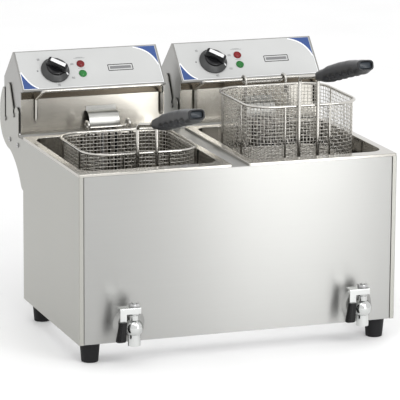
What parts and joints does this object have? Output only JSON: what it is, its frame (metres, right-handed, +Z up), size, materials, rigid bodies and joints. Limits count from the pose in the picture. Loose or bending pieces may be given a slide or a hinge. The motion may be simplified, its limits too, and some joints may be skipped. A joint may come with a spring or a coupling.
{
  "type": "deep fryer",
  "caption": "Counter-top electric deep fryer with side-by-side oil tanks, drain taps, lift-off control heads with elements, and wire baskets with long grips",
  "frame": {"origin": "on the table, under the middle of the casing, at the underside of the feet", "axes": "+Z up, +X to the right seen from the front, -Y out of the front towards the user"},
  "size_m": [0.5566, 0.6247, 0.5091],
  "materials": {
    "casing_steel": "fine brushed",
    "polished_steel": "polished",
    "wire": "bright",
    "mesh": "woven",
    "valve_chrome": "bright",
    "zinc": "plain",
    "element": "dull",
    "black_plastic": "fine texture",
    "knob_plastic": "satin",
    "rubber": "matt",
    "overlay": "satin print",
    "lens_red": "clear red",
    "lens_green": "clear green",
    "grey_plastic": "moulded",
    "button_red": "satin"
  },
  "bodies": {
    "casing": {"side_panel_left": "casing_steel", "side_panel_right": "casing_steel", "front_panel": "casing_steel", "rear_panel": "casing_steel", "base_plate": "zinc", "rubber_feet": "rubber", "top_frame": "casing_steel", "casing_screws": "zinc", "tank_left": "polished_steel", "drain_rosette_left": "valve_chrome", "valve_body_left": "valve_chrome", "bracket_outer_left": "casing_steel", "bracket_inner_left": "casing_steel", "bracket_tie_left": "casing_steel", "tank_right": "polished_steel", "drain_rosette_right": "valve_chrome", "valve_body_right": "valve_chrome", "bracket_outer_right": "casing_steel", "bracket_inner_right": "casing_steel", "bracket_tie_right": "casing_steel"},
    "tap_left": {"valve_stem_left": "valve_chrome", "tap_lever_left": "valve_chrome", "tap_grip_left": "black_plastic", "tap_nut_left": "zinc"},
    "head_left": {"head_housing_left": "casing_steel", "head_front_plate_left": "polished_steel", "control_overlay_left": "overlay", "lamp_red_left": "lens_red", "lamp_green_left": "lens_green", "thermostat_left": "grey_plastic", "basket_rail_left": "wire", "heating_element_left": "element", "element_cover_left": "polished_steel", "reset_switch_left": "black_plastic", "cable_gland_left": "black_plastic"},
    "knob_left": {"knob_left": "knob_plastic"},
    "reset_button_left": {"reset_button_left": "button_red"},
    "basket_left": {"basket_frame_left": "wire", "basket_mesh_left": "mesh", "basket_grip_left": "black_plastic"},
    "tap_right": {"valve_stem_right": "valve_chrome", "tap_lever_right": "valve_chrome", "tap_grip_right": "black_plastic", "tap_nut_right": "zinc"},
    "head_right": {"head_housing_right": "casing_steel", "head_front_plate_right": "polished_steel", "control_overlay_right": "overlay", "lamp_red_right": "lens_red", "lamp_green_right": "lens_green", "thermostat_right": "grey_plastic", "basket_rail_right": "wire", "heating_element_right": "element", "element_cover_right": "polished_steel", "reset_switch_right": "black_plastic", "cable_gland_right": "black_plastic"},
    "knob_right": {"knob_right": "knob_plastic"},
    "reset_button_right": {"reset_button_right": "button_red"},
    "basket_right": {"basket_frame_right": "wire", "basket_mesh_right": "mesh", "basket_grip_right": "black_plastic"}
  },
  "joints": [
    {"name": "head_left_lift", "type": "slide", "parent": "casing", "child": "head_left", "axis": [0, 0, 1], "range_m": [0, 0.18]},
    {"name": "head_right_lift", "type": "slide", "parent": "casing", "child": "head_right", "axis": [0, 0, 1], "range_m": [0, 0.18]},
    {"name": "knob_left_turn", "type": "hinge", "parent": "head_left", "child": "knob_left", "pos_m": [-0.2072, 0.20148, 0.42166], "axis": [0, 0.722, -0.6919], "range_deg": [0, 270]},
    {"name": "knob_right_turn", "type": "hinge", "parent": "head_right", "child": "knob_right", "pos_m": [0.0808, 0.20148, 0.42166], "axis": [0, 0.722, -0.6919], "range_deg": [0, 270]},
    {"name": "tap_left_turn", "type": "hinge", "parent": "casing", "child": "tap_left", "pos_m": [-0.193, -0.1885, 0.0655], "axis": [0, 0, 1], "range_deg": [0, 90]},
    {"name": "tap_right_turn", "type": "hinge", "parent": "casing", "child": "tap_right", "pos_m": [0.208, -0.1885, 0.0655], "axis": [0, 0, 1], "range_deg": [0, 90]},
    {"name": "basket_left_lift", "type": "slide", "parent": "head_left", "child": "basket_left", "axis": [0, -0.4226, 0.9063], "range_m": [0, 0.12]},
    {"name": "basket_right_lift", "type": "slide", "parent": "head_right", "child": "basket_right", "axis": [0, 0, 1], "range_m": [0, 0.05]},
    {"name": "reset_left_press", "type": "slide", "parent": "head_left", "child": "reset_button_left", "axis": [0, -1, 0], "range_m": [0, 0.003], "stiffness_N_per_m": 300, "springref_m": -0.002},
    {"name": "reset_right_press", "type": "slide", "parent": "head_right", "child": "reset_button_right", "axis": [0, -1, 0], "range_m": [0, 0.003], "stiffness_N_per_m": 300, "springref_m": -0.002}
  ]
}
